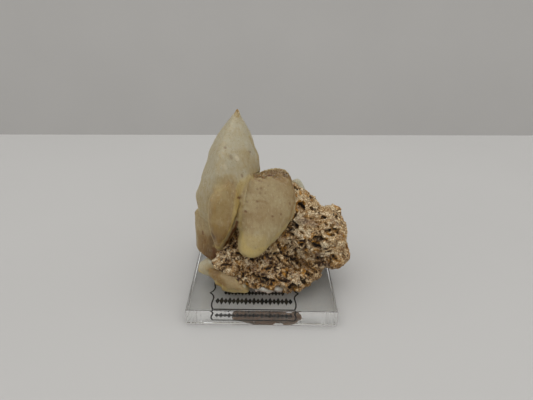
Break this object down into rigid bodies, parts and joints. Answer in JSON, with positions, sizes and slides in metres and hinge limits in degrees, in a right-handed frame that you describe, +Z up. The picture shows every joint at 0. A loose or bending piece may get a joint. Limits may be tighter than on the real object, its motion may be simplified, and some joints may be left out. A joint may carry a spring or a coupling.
{
  "type": "dogtooth calcite specimen",
  "caption": "Dogtooth calcite crystals grown together on a pitted rock, stuck with putty to a clear square display base with a label under it.",
  "frame": {"origin": "centre of the display base's underside, where it stands on a surface", "axes": "+Z up, +X to the viewer's right, +Y away from the viewer, square with the display base's sides"},
  "size_m": [0.0581, 0.0508, 0.0665],
  "materials": {
    "clear_acrylic": "polished clear acrylic",
    "label_film": "clear printed film",
    "white_putty": "soft matt putty",
    "rock_matrix": "rough and pitted, tan with dark brown pits and ochre stains",
    "calcite": "frosted and translucent",
    "stained_calcite": "frosted, stained brown",
    "pale_calcite": "frosted, nearly white"
  },
  "bodies": {
    "root": {"display_base": "clear_acrylic", "label": "label_film", "putty": "white_putty", "rock": "rock_matrix", "crystal_cluster": "calcite", "foot_crystals": "stained_calcite", "back_crystals": "pale_calcite"}
  },
  "joints": []
}
